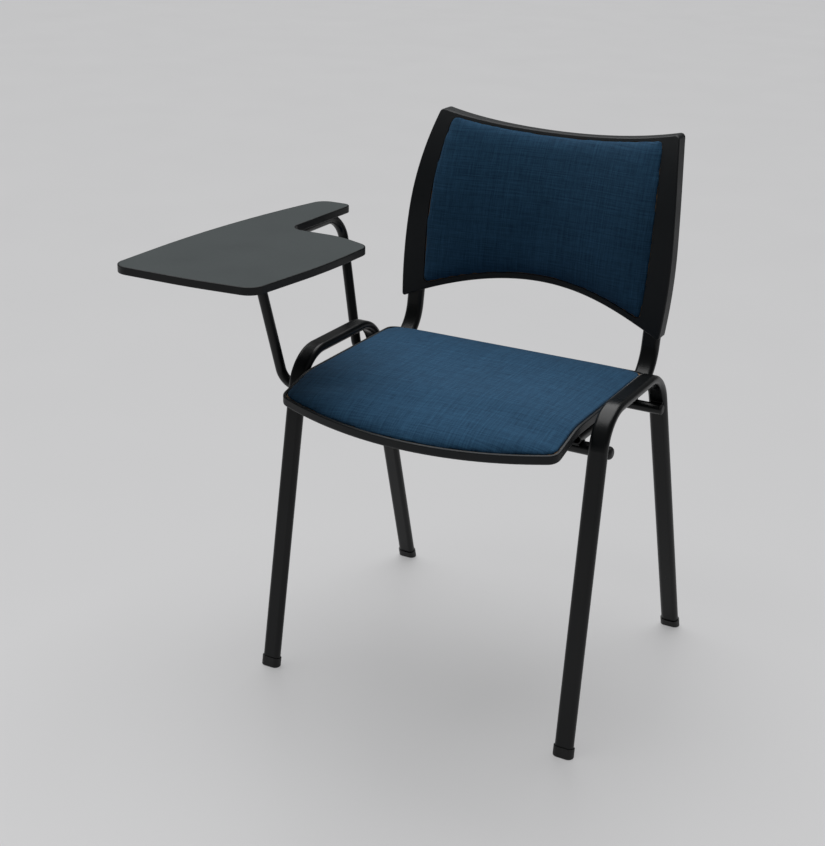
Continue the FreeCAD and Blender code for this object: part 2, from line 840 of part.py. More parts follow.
def top_line(margin):
    return xz(0, top_arc_centre_z), top_arc_radius + margin, -1


def arch_line(margin):
    return xz(0, arch_centre_z), arch_radius + margin, -1


def front_view_prism(side, top_margin, low_margin, top_radius, low_radius):
    """Prism along Y of the back's outline, or of one with margins inside it, with the given side line."""
    side_top, top_middle, top_end = circle_corner(side, top_line(top_margin), top_radius)
    side_low, low_middle, low_end = circle_corner(side, arch_line(low_margin), low_radius)
    side_middle = on_circle(side, (side_top + side_low) * 0.5)
    half = [
        Part.Arc(side_low, side_middle, side_top).toShape(),
        Part.Arc(side_top, top_middle, top_end).toShape(),
        Part.Arc(low_end, low_middle, side_low).toShape(),
    ]
    mirrored = [edge.mirror(CHAIR_CENTRE, ALONG_X) for edge in half]
    whole = [
        Part.Arc(top_end, xz(0, top_z(0, top_margin)), flipped(top_end)).toShape(),
        Part.Arc(low_end, xz(0, arch_z(0, low_margin)), flipped(low_end)).toShape(),
    ]
    face = Part.Face(Part.Wire(Part.__sortEdges__(half + mirrored + whole)))
    return face.extrude(ALONG_Y * (2 * shell_bend_radius))


def shell_prism():
    return front_view_prism(side_line(), 0, 0, shell_top_corner_radius, shell_tip_radius)


def panel_prism(inset):
    """Prism of the upholstered panel's outline, drawn in by the inset."""
    return front_view_prism(panel_side_line(inset), panel_top_margin + inset, panel_low_margin + inset,
                            panel_top_corner_radius - inset, panel_bottom_corner_radius - inset)


def front_depth_at(x):
    """Depth of the shell's front surface at a distance from the mid-plane."""
    return shell_dish * dish(x / shell_widest_half_width)


def rear_depth_at(x):
    """Depth of the shell's rear surface at a distance from the mid-plane."""
    middle_depth = shell_dish + shell_middle_depth
    return shell_edge_depth + (middle_depth - shell_edge_depth) * dish(x / shell_widest_half_width)


def panel_screw_places():
    heights = [shell_arch_height + share * (shell_top_height - shell_arch_height)
               for share in panel_screw_height_shares]
    return [(x, z) for x in (-panel_screw_half_span, panel_screw_half_span) for z in heights]


def through_back(x, height, diameter, near_depth, far_depth):
    """Cylinder square to the back's straight part, between two depths behind its front edge line."""
    base = back_point(height, 0) + upright_back * near_depth + ALONG_X * x
    return cylinder(diameter, base, upright_back, far_depth - near_depth)


def upright_screw_hole(x):
    hole_diameter = panel_screw_diameter + 2 * screw_clearance
    return through_back(x, shell_tip_height + upright_screw_tip_gap, hole_diameter, upright_depth_in_shell,
                        shell_edge_depth + overrun)


def is_front(point):
    """Whether a point of the shell's rim is nearer to its front surface than to its rear one."""
    middle_depth = (front_depth_at(point.x) + rear_depth_at(point.x)) / 2
    return point.y < back_point(point.z, middle_depth).y


def back_shell():
    middle_depth = shell_dish + shell_middle_depth
    body = shell_prism().common(back_slab(0, shell_dish, shell_edge_depth, middle_depth))
    body = body.makeFillet(shell_front_edge_radius, wall_edges(body, ALONG_Y, is_front))
    rear_edges = wall_edges(body, ALONG_Y, lambda point: not is_front(point))
    body = body.makeFillet(shell_rear_edge_radius, rear_edges)
    recess = back_slab(-overrun, shell_dish - overrun, panel_recess_depth, shell_dish + panel_recess_depth)
    body = body.cut(panel_prism(0).common(recess))
    pocket_top = on_upright(upright_top_height) + upright_up * upright_pocket_clearance
    pocket = oval_rod(on_upright(shell_tip_height - tube_width), pocket_top, upright_pocket_clearance)
    pocket.translate(ALONG_X * upright_half_span)
    for side_pocket in both_sides(pocket):
        body = body.cut(side_pocket)
    hole_diameter = panel_screw_diameter + 2 * screw_clearance
    for x, height in panel_screw_places():
        surface = rear_depth_at(x)
        seat_depth = surface - panel_counterbore_depth
        bore_diameter = panel_screw_head_diameter + 2 * screw_clearance
        body = body.cut(through_back(x, height, hole_diameter, shell_dish / 2, surface + overrun))
        body = body.cut(through_back(x, height, bore_diameter, seat_depth, surface + overrun))
    for x in (-upright_half_span, upright_half_span):
        body = body.cut(upright_screw_hole(x))
    return body


def back_board():
    rear = panel_recess_depth - board_seat_gap
    front = rear - back_board_thickness
    board_slab = back_slab(front, shell_dish + front, rear, shell_dish + rear)
    board = panel_prism(board_clearance).common(board_slab)
    for x, height in panel_screw_places():
        tip_depth = rear_depth_at(x) - panel_counterbore_depth - panel_screw_length(x)
        board = board.cut(through_back(x, height, panel_screw_diameter, tip_depth, rear_depth_at(x)))
    return board


def panel_screw_length(x):
    """From under a panel screw's head to its tip in the board."""
    board_back = panel_recess_depth - board_seat_gap + shell_dish * dish(x / shell_widest_half_width)
    return rear_depth_at(x) - panel_counterbore_depth - board_back + panel_screw_grip


def pan_screw(x, height, head_depth, length):
    """Pan-head screw driven forwards, its head's underside at head_depth."""
    shank = through_back(x, height, panel_screw_diameter, head_depth - length, head_depth)
    outer_depth = head_depth + panel_screw_head_height
    head = through_back(x, height, panel_screw_head_diameter, head_depth, outer_depth)
    key_base = outer_depth - hex_key_depth / 2
    key = through_back(x, height, hex_key_diameter / 2, key_base, outer_depth + overrun)
    return shank.fuse(head).removeSplitter().cut(key)


def panel_screws():
    return [pan_screw(x, height, rear_depth_at(x) - panel_counterbore_depth, panel_screw_length(x))
            for x, height in panel_screw_places()]


def upright_screws():
    height = shell_tip_height + upright_screw_tip_gap
    return [pan_screw(x, height, rear_depth_at(x) + screw_clearance, upright_screw_reach)
            for x in (-upright_half_span, upright_half_span)]


def back_cushion_section(share):
    x = share * panel_widest_half_width
    hollow = shell_dish * dish(x / shell_widest_half_width)
    front_depth = hollow - soft_rise(share, back_crown, back_edge_rise)
    base_depth = panel_recess_depth - back_board_thickness - soft_clearance + hollow
    high = top_z(x, panel_top_margin + back_nose_gap)
    low = arch_z(x, panel_low_margin + back_nose_gap)
    front, front_low, front_high = profile_edges(low + back_nose, high - back_nose, front_depth, x)
    rear, rear_low, rear_high = profile_edges(low, high, base_depth, x)
    middle_depth = (front_depth * 3 + base_depth) / 4
    low_nose = back_point(low + back_nose / 4, middle_depth) + ALONG_X * x
    high_nose = back_point(high - back_nose / 4, middle_depth) + ALONG_X * x
    edges = front + rear
    edges.append(Part.Arc(front_low, low_nose, rear_low).toShape())
    edges.append(Part.Arc(front_high, high_nose, rear_high).toShape())
    return closed_section(edges)


def back_cushion():
    """Crowned loft across the back, trimmed to the recess's outline."""
    crowned = Part.makeLoft([back_cushion_section(share) for share in cushion_station_shares], True, False)
    return crowned.common(panel_prism(cushion_edge_gap))


# Tablet arm

collar_radius = arm_diameter / 2 + collar_wall
arm_bar_z = tablet_top_height - tablet_thickness - collar_radius


def arm_path():
    front_socket = Vector(front_cross_arm_x + arm_insert_length, front_cross_y, front_cross_height)
    rear_mouth = Vector(rear_cross_arm_x, rear_cross_y, rear_cross_height)
    points = [
        front_socket,
        Vector(arm_front_corner_x, front_cross_y, front_cross_height),
        Vector(arm_bar_x, arm_bar_front_y, arm_bar_z),
        Vector(arm_bar_x, arm_bar_rear_y, arm_bar_z),
        Vector(arm_rear_corner_x, rear_cross_y, rear_cross_height),
        rear_mouth,
    ]
    upper = arm_top_bend_radius
    rear_run = (points[5] - points[4]).Length
    rear_half_angle = unit(points[3] - points[4]).getAngle(unit(points[5] - points[4])) / 2
    rear_lower = (rear_run - arm_rear_straight) * math.tan(rear_half_angle)
    return rounded_path(points, [arm_lower_bend_radius, upper, upper, rear_lower])


def tablet_arm():
    path = arm_path()
    start = path.Edges[0].Vertexes[0].Point
    rings = []
    for diameter in (arm_diameter, arm_diameter - 2 * arm_wall):
        ring = Part.Wire(Part.makeCircle(diameter / 2, start, ALONG_X))
        rings.append(tube_solid(path, ring))
    mouth = Vector(rear_cross_arm_x, rear_cross_y, rear_cross_height)
    shoulder = mouth - ALONG_X * arm_wall
    body = rings[0].cut(rings[1]).fuse(cylinder(arm_diameter, shoulder, ALONG_X, arm_wall))
    body = body.fuse(cylinder(arm_spigot_diameter, mouth, ALONG_X, arm_insert_length)).removeSplitter()
    bore = arm_spigot_diameter - 2 * arm_wall
    return body.cut(cylinder(bore, shoulder, ALONG_X, arm_insert_length + arm_wall))


def grub_screws():
    """Grub screws up through the cross tubes' undersides, which hold the arm's ends."""
    screws = []
    sockets = ((front_cross_y, front_cross_height, front_cross_diameter, arm_diameter),
               (rear_cross_y, rear_cross_height, rear_cross_diameter, arm_spigot_diameter))
    for y, height, tube_diameter, arm_end_diameter in sockets:
        low = height - tube_diameter / 2 - grub_screw_stand
        high = height - arm_end_diameter / 2
        diameter = grub_screw_diameter - 2 * insert_bore_clearance
        body = cylinder(diameter, Vector(grub_screw_x, y, low), UP, high - low - arm_socket_clearance)
        screws.append(body.cut(cylinder(diameter / 2, Vector(grub_screw_x, y, low), UP, grub_screw_stand)))
    return screws


# Writing tablet and its fold

def tablet_outline():
    corners = []
    for x_share, y_share, radius_share in tablet_outline_shares:
        x = tablet_outer_x + x_share * tablet_width
        y = tablet_front_y + y_share * tablet_length
        corners.append((Vector(x, y, tablet_top_height - tablet_thickness), radius_share * tablet_width))
    return rounded_loop(corners)


def tablet_slab():
    return Part.Face(tablet_outline()).extrude(UP * tablet_thickness)


def tablet_core():
    return Part.Face(tablet_outline()).makeOffset2D(-tablet_band_width).extrude(UP * tablet_thickness)


def tablet_board():
    board = tablet_core()
    for y in (collar_front_y, collar_rear_y):
        for x, place_y in collar_screw_places(y):
            board = board.cut(collar_screw_shank(x, place_y))
    return board


def tablet_edge_band():
    slab = tablet_slab()
    flat_edges = [edge for edge in slab.Edges if edge.BoundBox.ZLength < tablet_edge_radius]
    return slab.makeFillet(tablet_edge_radius, flat_edges).cut(tablet_core())


tablet_under_z = tablet_top_height - tablet_thickness


def collar_screw_places(y):
    far_x = arm_bar_x - collar_flange_reach + collar_screw_inset
    near_x = far_x + collar_screw_inset * 2
    side = collar_width / 4
    return [(far_x, y - side), (near_x, y + side)]


def collar_screw_shank(x, y):
    low = tablet_under_z - collar_flange_thickness
    return cylinder(collar_screw_diameter, Vector(x, y, low), UP, collar_flange_thickness + collar_screw_grip)


def hinge_collar(y):
    """Collar that turns on the arm's bar, with a flange screwed under the tablet."""
    start_y = y - collar_width / 2
    ring = cylinder(2 * collar_radius, Vector(arm_bar_x, start_y, arm_bar_z), ALONG_Y, collar_width)
    flange = Part.makeBox(collar_flange_reach, collar_width, collar_flange_thickness)
    flange_low = tablet_under_z - collar_flange_thickness
    flange.translate(Vector(arm_bar_x - collar_flange_reach, start_y, flange_low))
    body = ring.fuse(flange)
    bore_diameter = arm_diameter + 2 * collar_running_clearance
    body = body.cut(cylinder(bore_diameter, Vector(arm_bar_x, start_y - overrun, arm_bar_z), ALONG_Y,
                             collar_width + 2 * overrun))
    hole = collar_screw_diameter + 2 * screw_clearance
    low = tablet_under_z - collar_flange_thickness - overrun
    for x, place_y in collar_screw_places(y):
        body = body.cut(cylinder(hole, Vector(x, place_y, low), UP, 2 * overrun))
    return body.removeSplitter()


def collar_screws():
    screws = []
    for y in (collar_front_y, collar_rear_y):
        for x, place_y in collar_screw_places(y):
            head_low = tablet_under_z - collar_flange_thickness - collar_screw_head_height
            under = Vector(x, place_y, head_low)
            head = cylinder(collar_screw_head_diameter, under, UP, collar_screw_head_height)
            key = cylinder(hex_key_diameter / 2, under, UP, hex_key_depth / 2)
            screws.append(head.cut(key).fuse(collar_screw_shank(x, place_y)).removeSplitter())
    return screws


buffer_stand = stop_buffer_height + stop_clearance


def fold_stop():
    """Gusset welded under the bar: one edge stops the tablet level, the other stops it upright."""
    face_offset = collar_radius - buffer_stand
    outline = [
        (-face_offset, -stop_reach), (-face_offset, 0), (0, 0), (0, face_offset), (stop_reach, face_offset),
        (stop_reach, face_offset - stop_thickness), (stop_thickness - face_offset, -stop_reach),
    ]
    start_y = stop_y - stop_width / 2
    corners = [Vector(arm_bar_x + x, start_y, arm_bar_z + z) for x, z in outline]
    plate = Part.Face(Part.makePolygon(corners + corners[:1])).extrude(ALONG_Y * stop_width)
    return plate.cut(cylinder(arm_diameter, Vector(arm_bar_x, start_y, arm_bar_z), ALONG_Y, stop_width))


def fold_buffers():
    inset = stop_buffer_diameter / 2
    face_offset = collar_radius - buffer_stand
    level_base = Vector(arm_bar_x + stop_reach - inset, stop_y, arm_bar_z + face_offset)
    upright_base = Vector(arm_bar_x - face_offset, stop_y, arm_bar_z - stop_reach + inset)
    return [cylinder(stop_buffer_diameter, level_base, UP, stop_buffer_height),
            cylinder(stop_buffer_diameter, upright_base, -ALONG_X, stop_buffer_height)]


# Assembly: every node is a list of solids

def build_nodes():
    nodes = {}
    left, right = both_sides(side_frame())
    nodes["side_frame_left"] = [left]
    nodes["side_frame_right"] = [right]
    for name, foot_y, leg in (("front", front_foot_y, front_leg), ("rear", rear_foot_y, rear_leg)):
        left, right = both_sides(foot_cap(foot_y, leg))
        nodes["foot_cap_" + name + "_left"] = [left]
        nodes["foot_cap_" + name + "_right"] = [right]
    nodes["front_cross_tube"] = [front_cross_tube()]
    nodes["rear_cross_tube"] = [rear_cross_tube()]
    nodes["front_cross_plug"] = [front_cross_plug()]
    nodes["rear_cross_plug"] = [rear_cross_plug()]
    left, right = both_sides(back_upright())
    nodes["back_upright_left"] = [left]
    nodes["back_upright_right"] = [right]
    nodes["seat_tray"] = [seat_tray()]
    nodes["seat_board"] = [seat_board()]
    nodes["seat_inserts"] = seat_inserts()
    nodes["seat_screws"] = seat_screws()
    nodes["seat_cushion"] = [seat_cushion()]
    nodes["back_shell"] = [back_shell()]
    nodes["back_board"] = [back_board()]
    nodes["back_cushion"] = [back_cushion()]
    nodes["back_panel_screws"] = panel_screws()
    nodes["back_upright_screws"] = upright_screws()
    nodes["tablet_arm"] = [tablet_arm()]
    nodes["arm_grub_screws"] = grub_screws()
    nodes["tablet_board"] = [tablet_board()]
    nodes["tablet_edge_band"] = [tablet_edge_band()]
    nodes["hinge_collar_front"] = [hinge_collar(collar_front_y)]
    nodes["hinge_collar_rear"] = [hinge_collar(collar_rear_y)]
    nodes["collar_screws"] = collar_screws()
    nodes["fold_stop"] = [fold_stop()]
    nodes["fold_stop_buffers"] = fold_buffers()
    return nodes


def export(nodes):
    """Writes each node, with the chair moved so that its box's bottom centre is the origin."""
    whole = Part.makeCompound([solid for solids in nodes.values() for solid in solids])
    box = FreeCAD.BoundBox()
    for point in whole.tessellate(box_tolerance)[0]:
        box.add(point)
    shift = Vector(-box.Center.x, -box.Center.y, -box.ZMin)
    os.makedirs("parts", exist_ok=True)
    for name, solids in nodes.items():
        shape = solids[0] if len(solids) == 1 else Part.makeCompound(solids)
        moved = shape.copy()
        moved.translate(shift)
        moved.exportStep("parts/" + name + ".step")
    print("box", [round(side, 1) for side in (box.XLength, box.YLength, box.ZLength)])
    print("shift", [round(value, 3) for value in shift])
    fold = Vector(arm_bar_x, stop_y, arm_bar_z) + shift
    print("fold axis through", [round(value, 3) for value in fold])
    for name, foot_y in (("front", front_foot_y), ("rear", rear_foot_y)):
        foot = Vector(leg_x(0), foot_y, 0) + shift
        print(name, "left foot", [round(value, 3) for value in foot])


export(build_nodes())
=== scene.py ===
# %% [markdown]
# A stacking chair for a seminar room: a black flat-oval steel frame, a blue upholstered seat and back in
# black plastic surrounds, and a writing tablet on a bent round tube.
# The solid model is loaded first and stays as it is. New pieces could be placed by typed coordinates, but
# here each one takes its place from the loaded pieces, so a cushion sits where its own solid sits.

import json
import math

import bpy
import numpy as np
from mathutils import Matrix, Vector


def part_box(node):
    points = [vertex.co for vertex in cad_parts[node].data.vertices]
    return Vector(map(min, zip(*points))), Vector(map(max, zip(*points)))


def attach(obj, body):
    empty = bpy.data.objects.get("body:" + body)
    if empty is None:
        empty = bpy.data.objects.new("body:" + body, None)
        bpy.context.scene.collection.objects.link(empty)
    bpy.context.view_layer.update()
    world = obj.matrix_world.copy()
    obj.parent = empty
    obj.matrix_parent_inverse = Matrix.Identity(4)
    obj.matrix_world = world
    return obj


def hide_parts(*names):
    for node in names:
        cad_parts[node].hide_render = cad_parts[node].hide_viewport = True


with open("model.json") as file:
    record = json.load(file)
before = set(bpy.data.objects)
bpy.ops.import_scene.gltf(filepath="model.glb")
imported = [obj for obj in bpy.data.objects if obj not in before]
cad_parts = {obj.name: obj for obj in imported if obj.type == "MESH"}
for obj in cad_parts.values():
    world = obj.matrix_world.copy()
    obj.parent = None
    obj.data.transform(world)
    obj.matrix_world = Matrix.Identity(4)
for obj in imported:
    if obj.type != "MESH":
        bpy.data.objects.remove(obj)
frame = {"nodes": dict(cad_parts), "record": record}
nodes = frame["nodes"]
scene = bpy.context.scene
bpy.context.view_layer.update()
MM = 0.001

# %% [markdown]
# Operators act on whatever is selected, and the loaded pieces start out selected. So each modelling step
# begins with nothing selected, and then takes exactly one object.

# %% Selection helpers
def nothing_selected():
    if bpy.context.mode != "OBJECT":
        bpy.ops.object.mode_set(mode="OBJECT")
    bpy.ops.object.select_all(action="DESELECT")


def only(piece):
    nothing_selected()
    piece.select_set(True)
    bpy.context.view_layer.objects.active = piece
    return piece


def edit_all(piece):
    """Opens a piece in edit mode, with all of it selected."""
    only(piece)
    bpy.ops.object.mode_set(mode="EDIT")
    bpy.ops.mesh.select_all(action="SELECT")


def close_edit():
    bpy.ops.object.mode_set(mode="OBJECT")


def apply_modifiers(piece):
    only(piece)
    for modifier in list(piece.modifiers):
        bpy.ops.object.modifier_apply(modifier=modifier.name)


nothing_selected()
print("mode", bpy.context.mode)

# %% [markdown]
# Colours are easiest to read off as screen values from 0 to 255, while shaders count in linear light. This
# function goes from one to the other by the standard screen curve, whose own constants it holds.

# %% Colour helper
def srgb(red, green, blue):
    """Linear colour of a screen colour given in 0 to 255."""
    linear = [((c / 255 + 0.055) / 1.055) ** 2.4 if c > 10 else c / 255 / 12.92 for c in (red, green, blue)]
    return (*linear, 1.0)


print("middle grey is", [round(value, 3) for value in srgb(128, 128, 128)])

# %% [markdown]
# A node group is a small machine for one effect. It is built once, and each material places it with its own
# values. Nodes could be wired one socket at a time, but these helpers keep that short: one makes a group
# with named sockets, one adds a node and plugs in its inputs, and the others are the nodes used most.

# %% Node helpers
def new_group(name, inputs, outputs):
    """Node group with float or vector inputs, given as name: default, and named outputs."""
    tree = bpy.data.node_groups.new(name, "ShaderNodeTree")
    for socket, default in inputs.items():
        kind = "NodeSocketVector" if default is None else "NodeSocketFloat"
        made = tree.interface.new_socket(name=socket, in_out="INPUT", socket_type=kind)
        if default is not None:
            made.default_value = default
    for socket in outputs:
        tree.interface.new_socket(name=socket, in_out="OUTPUT", socket_type="NodeSocketFloat")
    return tree, tree.nodes.new("NodeGroupInput"), tree.nodes.new("NodeGroupOutput")


def add(tree, kind, settings=None, **inputs):
    """Adds a node, applies its settings, and links or sets the inputs, which are named or numbered."""
    node = tree.nodes.new("ShaderNode" + kind)
    for key, value in (settings or {}).items():
        setattr(node, key, value)
    for key, value in inputs.items():
        socket = node.inputs[int(key[1:])] if key[0] == "_" else node.inputs[key.replace("_", " ")]
        if isinstance(value, bpy.types.NodeSocket):
            tree.links.new(value, socket)
        else:
            socket.default_value = value
    return node


def sums(tree, operation, first, second=0.0, third=0.0):
    return add(tree, "Math", {"operation": operation}, _0=first, _1=second, _2=third).outputs[0]


def mix_numbers(tree, share, first, second):
    """Number that goes from the first to the second as the share goes from 0 to 1."""
    return add(tree, "Mix", {"data_type": "FLOAT"}, _0=share, _2=first, _3=second).outputs[0]


def mix_colours(tree, share, first, second, way="MIX"):
    settings = {"data_type": "RGBA", "blend_type": way}
    return add(tree, "Mix", settings, _0=share, _6=first, _7=second).outputs[2]


def remap(tree, value, given, wanted):
    """Maps one range of numbers onto another, and holds what lies beyond it at the ends."""
    return add(tree, "MapRange", _0=value, _1=given[0], _2=given[1], _3=wanted[0], _4=wanted[1]).outputs[0]


def noise(tree, place, scale, detail, roughness):
    return add(tree, "TexNoise", Vector=place, Scale=scale, Detail=detail, Roughness=roughness).outputs[0]


def emboss(tree, shader, height, strength, depth):
    bump = add(tree, "Bump", Strength=strength, Distance=depth, Height=height)
    tree.links.new(bump.outputs[0], shader.inputs["Normal"])


NOISE_RANGE = (0.3, 0.7)
WHOLE_RANGE = (0.0, 1.0)
print("most of a noise lies in", NOISE_RANGE)

# %% [markdown]
# Upholstery cloth is a plain weave: two sets of threads that pass over and under each other. It could be
# drawn with an image, but a pattern worked out from the coordinates stays sharp at any distance. Each
# thread is a rounded ridge, and a checker decides which set lies on top. Every thread gets its own tone.

# %% Weave group
THREAD_PITCH = 0.9 * MM
THREAD_SETS = 2
SET_SHIFT = 17.0


def weave_group():
    tree, given, out = new_group("plain_weave", {"Vector": None, "Pitch": THREAD_PITCH}, ("Height", "Tone"))
    place = add(tree, "SeparateXYZ", _0=given.outputs["Vector"])
    ridges, cells = [], []
    for axis in range(THREAD_SETS):
        step = sums(tree, "DIVIDE", place.outputs[axis], given.outputs["Pitch"])
        cells.append(sums(tree, "FLOOR", step))
        turn = sums(tree, "MULTIPLY", sums(tree, "FRACT", step), math.pi)
        ridges.append(sums(tree, "SINE", turn))
    over = sums(tree, "FLOORED_MODULO", sums(tree, "ADD", cells[0], cells[1]), float(THREAD_SETS))
    heights = []
    for across, along in ((0, 1), (1, 0)):
        bulge = sums(tree, "MULTIPLY_ADD", ridges[along], 0.5, 0.5)
        heights.append(sums(tree, "MULTIPLY", ridges[across], bulge))
    tones = []
    for index in range(THREAD_SETS):
        shift = sums(tree, "ADD", cells[index], SET_SHIFT * index)
        tones.append(add(tree, "TexWhiteNoise", {"noise_dimensions": "1D"}, W=shift).outputs["Value"])
    tree.links.new(mix_numbers(tree, over, heights[0], heights[1]), out.inputs["Height"])
    tree.links.new(mix_numbers(tree, over, tones[0], tones[1]), out.inputs["Tone"])
    return tree


weave = weave_group()
print("weave sockets", [item.name for item in weave.interface.items_tree])

# %% [markdown]
# Moulded plastic and stove enamel are never quite smooth. An even bump and one roughness would look like
# new paint on glass. So one group serves both with a fine grain for the height, and a slow cloudiness that
# shifts the roughness, as hands and cleaning do.

# %% Grain group
def grain_group():
    tree, given, out = new_group("surface_grain", {"Vector": None, "Grain Scale": 900.0, "Cloud Scale": 9.0},
                                 ("Height", "Cloud"))
    place = given.outputs["Vector"]
    scale = given.outputs["Grain Scale"]
    fine = noise(tree, place, scale, detail=2.0, roughness=0.5)
    pits = add(tree, "TexVoronoi", {"feature": "SMOOTH_F1"}, Vector=place, Scale=scale, Smoothness=0.6)
    cloud = noise(tree, place, given.outputs["Cloud Scale"], detail=4.0, roughness=0.6)
    tree.links.new(mix_numbers(tree, 0.5, fine, pits.outputs[0]), out.inputs["Height"])
    tree.links.new(cloud, out.inputs["Cloud"])
    return tree


grain = grain_group()
print("grain sockets", [item.name for item in grain.interface.items_tree])

# %% [markdown]
# Most of the chair's finishes differ only in colour, gloss and the size of their grain, so one function
# writes them all. The two colours are close together, and the cloudiness drifts between them.

# %% Recipe for a grained finish
def new_material(name):
    material = bpy.data.materials.new(name)
    material.use_nodes = True
    tree = material.node_tree
    shader = tree.nodes["Principled BSDF"]
    place = add(tree, "TexCoord").outputs["Object"]
    return material, tree, shader, place


def grained_finish(name, dark, light, gloss, grains, depth, metallic=0.0, shine=0.5):
    """Finish with a fine grain. The gloss is the lowest and the highest roughness."""
    material, tree, shader, place = new_material(name)
    group = add(tree, "Group", {"node_tree": grain}, Vector=place, Grain_Scale=grains)
    cloud = group.outputs["Cloud"]
    tree.links.new(mix_colours(tree, cloud, srgb(*dark), srgb(*light)), shader.inputs["Base Color"])
    tree.links.new(remap(tree, cloud, NOISE_RANGE, gloss), shader.inputs["Roughness"])
    emboss(tree, shader, group.outputs["Height"], 1.0, depth)
    shader.inputs["Metallic"].default_value = metallic
    shader.inputs["Specular IOR Level"].default_value = shine
    return material


print("a grained finish shifts its roughness over", NOISE_RANGE, "of the cloud")

# %% [markdown]
# The frame is black enamel with a soft gloss. The tablet's band, the surrounds and the foot caps are black
# plastic, each a little duller than the last. The tablet's top is a matt grey laminate. Screws are zinc
# plated, and the boards under the cushions are plywood. The colours could be one black for all, but then
# the frame, the shell and the band would run into one another.

# %% Painted and moulded finishes
finishes = {}
finishes["black_frame"] = grained_finish("black_enamel", (6, 9, 11), (10, 13, 15), gloss=(0.26, 0.36),
                                         grains=700.0, depth=0.06 * MM, shine=0.35)
finishes["cap_plastic"] = grained_finish("cap_plastic", (16, 16, 17), (22, 22, 23), gloss=(0.45, 0.6),
                                         grains=1500.0, depth=0.08 * MM)
finishes["shell_plastic"] = grained_finish("moulded_shell", (11, 16, 19), (16, 21, 25), gloss=(0.42, 0.55),
                                           grains=1300.0, depth=0.1 * MM, shine=0.35)
finishes["zinc_steel"] = grained_finish("zinc_plate", (150, 152, 150), (176, 176, 170), gloss=(0.28, 0.4),
                                        grains=500.0, depth=0.03 * MM, metallic=1.0)
finishes["plywood"] = grained_finish("plywood_board", (150, 112, 72), (176, 138, 94), gloss=(0.6, 0.75),
                                     grains=300.0, depth=0.2 * MM)
finishes["grey_laminate"] = grained_finish("grey_laminate", (56, 63, 64), (64, 71, 72), gloss=(0.46, 0.54),
                                           grains=1100.0, depth=0.04 * MM, shine=0.25)
finishes["edge_band"] = grained_finish("edge_band", (7, 10, 12), (12, 15, 17), gloss=(0.35, 0.45),
                                       grains=1200.0, depth=0.05 * MM, shine=0.3)
finishes["buffer_rubber"] = grained_finish("buffer_rubber", (14, 14, 14), (22, 22, 22), gloss=(0.7, 0.85),
                                           grains=1000.0, depth=0.1 * MM)
print("finishes", sorted(finishes))

# %% [markdown]
# The blue cloth has the weave, and over it faint streaks where a thread is thicker than its neighbours. The
# streaks are noise pulled long along each set of threads.

# %% Streak group
STREAK_LENGTH = 28.0 * MM
STREAK_WIDTH = 1.8 * MM


def streak_group():
    inputs = {"Vector": None, "Length": STREAK_LENGTH, "Width": STREAK_WIDTH}
    tree, given, out = new_group("thick_thread_streaks", inputs, ("Tone",))
    fine = sums(tree, "DIVIDE", 1.0, given.outputs["Width"])
    coarse = sums(tree, "DIVIDE", 1.0, given.outputs["Length"])
    layers = []
    for across, along in ((fine, coarse), (coarse, fine)):
        pull = add(tree, "CombineXYZ", _0=across, _1=along).outputs[0]
        pulled = add(tree, "VectorMath", {"operation": "MULTIPLY"}, _0=given.outputs["Vector"], _1=pull)
        layers.append(noise(tree, pulled.outputs[0], scale=1.0, detail=2.0, roughness=0.6))
    tree.links.new(mix_numbers(tree, 0.5, layers[0], layers[1]), out.inputs["Tone"])
    return tree


streaks = streak_group()
print("streak sockets", [item.name for item in streaks.interface.items_tree])

# %% [markdown]
# The pattern must follow the cloth down over the front of the seat. Object coordinates would smear it there,
# so it reads a map that each cushion gets, in metres along the surface. Cloth shines little, and a weak
# sheen stands for its fibres.

# %% Blue cloth
CLOTH_MAP = "cloth"
THREAD_TONE_SHARE = 0.22
TONE_RANGE = (0.33, 0.68)
WEAR_TINT = (0.93, 1.06)
THREAD_ROUGHNESS = (0.95, 0.8)


def blue_cloth(name, dark, light):
    material, tree, shader, place = new_material(name)
    flat_place = add(tree, "UVMap", {"uv_map": CLOTH_MAP}).outputs[0]
    threads = add(tree, "Group", {"node_tree": weave}, Vector=flat_place, Pitch=THREAD_PITCH)
    thick = add(tree, "Group", {"node_tree": streaks}, Vector=flat_place, Length=STREAK_LENGTH,
                Width=STREAK_WIDTH)
    streaked = sums(tree, "MULTIPLY", thick.outputs["Tone"], 1.0 - THREAD_TONE_SHARE)
    tone = sums(tree, "MULTIPLY_ADD", threads.outputs["Tone"], THREAD_TONE_SHARE, streaked)
    spread = remap(tree, tone, TONE_RANGE, WHOLE_RANGE)
    colour = mix_colours(tree, spread, srgb(*dark), srgb(*light))
    worn = noise(tree, place, scale=7.0, detail=3.0, roughness=0.55)
    tint = remap(tree, worn, NOISE_RANGE, WEAR_TINT)
    tree.links.new(mix_colours(tree, 1.0, colour, tint, "MULTIPLY"), shader.inputs["Base Color"])
    rough = remap(tree, threads.outputs["Height"], WHOLE_RANGE, THREAD_ROUGHNESS)
    tree.links.new(rough, shader.inputs["Roughness"])
    emboss(tree, shader, threads.outputs["Height"], 0.5, 0.25 * MM)
    shader.inputs["Specular IOR Level"].default_value = 0.15
    shader.inputs["Sheen Weight"].default_value = 0.06
    shader.inputs["Sheen Roughness"].default_value = 0.5
    return material


finishes["blue_fabric"] = blue_cloth("blue_cloth", (26, 59, 86), (50, 92, 124))
print("cloth map read by", finishes["blue_fabric"].name)

# %% [markdown]
# The record names a slot for every piece. Each loaded piece keeps its mesh, and only its material changes.

